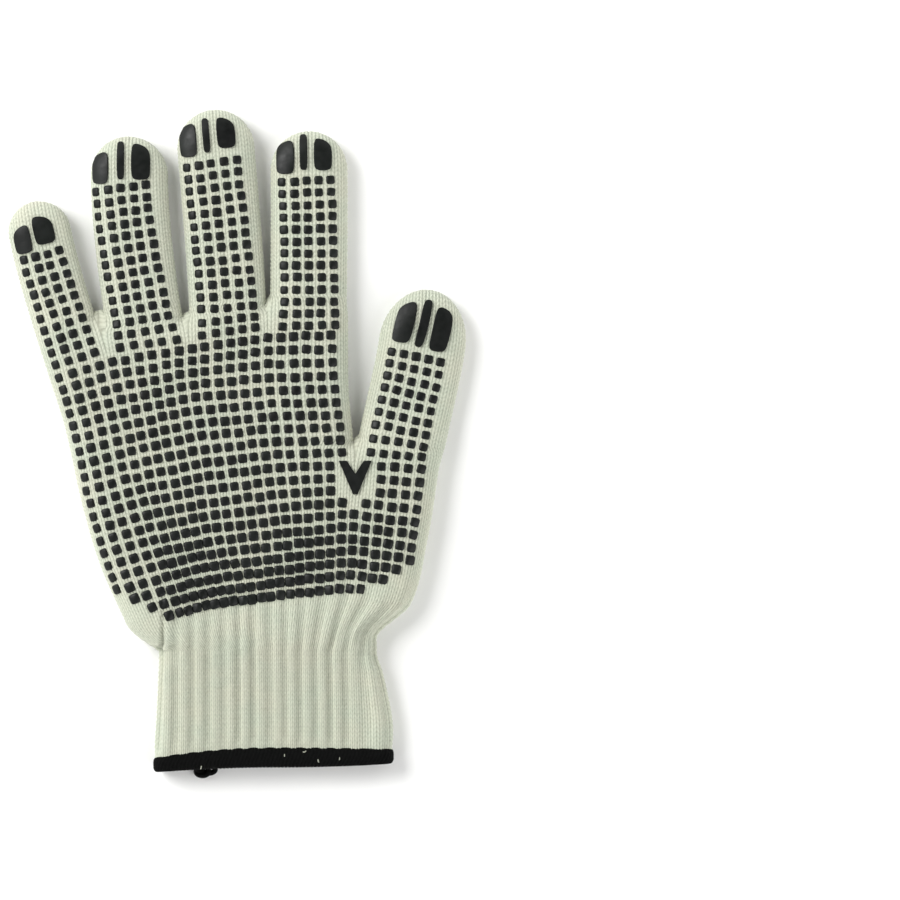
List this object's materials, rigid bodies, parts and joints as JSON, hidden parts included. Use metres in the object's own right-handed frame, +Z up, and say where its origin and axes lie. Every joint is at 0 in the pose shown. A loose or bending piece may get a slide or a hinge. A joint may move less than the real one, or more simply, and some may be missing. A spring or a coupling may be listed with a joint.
{
  "type": "cotton work glove",
  "caption": "Off-white string-knit work glove lying flat, palm up, with raised black grip dots and fingertip pads, a ribbed cuff and a black overlocked hem.",
  "frame": {"origin": "middle of the footprint, on the surface the glove lies on", "axes": "+Y from the cuff to the fingertips, +X to the thumb side, +Z up out of the dotted palm"},
  "size_m": [0.1644, 0.2404, 0.014],
  "materials": {
    "knit": "matte string knit",
    "hem_thread": "matte overlock thread",
    "grip": "soft satin PVC"
  },
  "bodies": {
    "root": {"palm": "knit", "little_finger": "knit", "ring_finger": "knit", "middle_finger": "knit", "index_finger": "knit", "thumb": "knit", "rib_cuff": "knit", "hem": "hem_thread", "little_pad_a": "grip", "little_pad_b": "grip", "ring_pad_a": "grip", "ring_bar": "grip", "ring_pad_b": "grip", "middle_pad_a": "grip", "middle_bar": "grip", "middle_pad_b": "grip", "index_pad_a": "grip", "index_bar": "grip", "index_pad_b": "grip", "thumb_pad_a": "grip", "thumb_bar": "grip", "thumb_pad_b": "grip", "crotch_pad": "grip"}
  },
  "joints": []
}
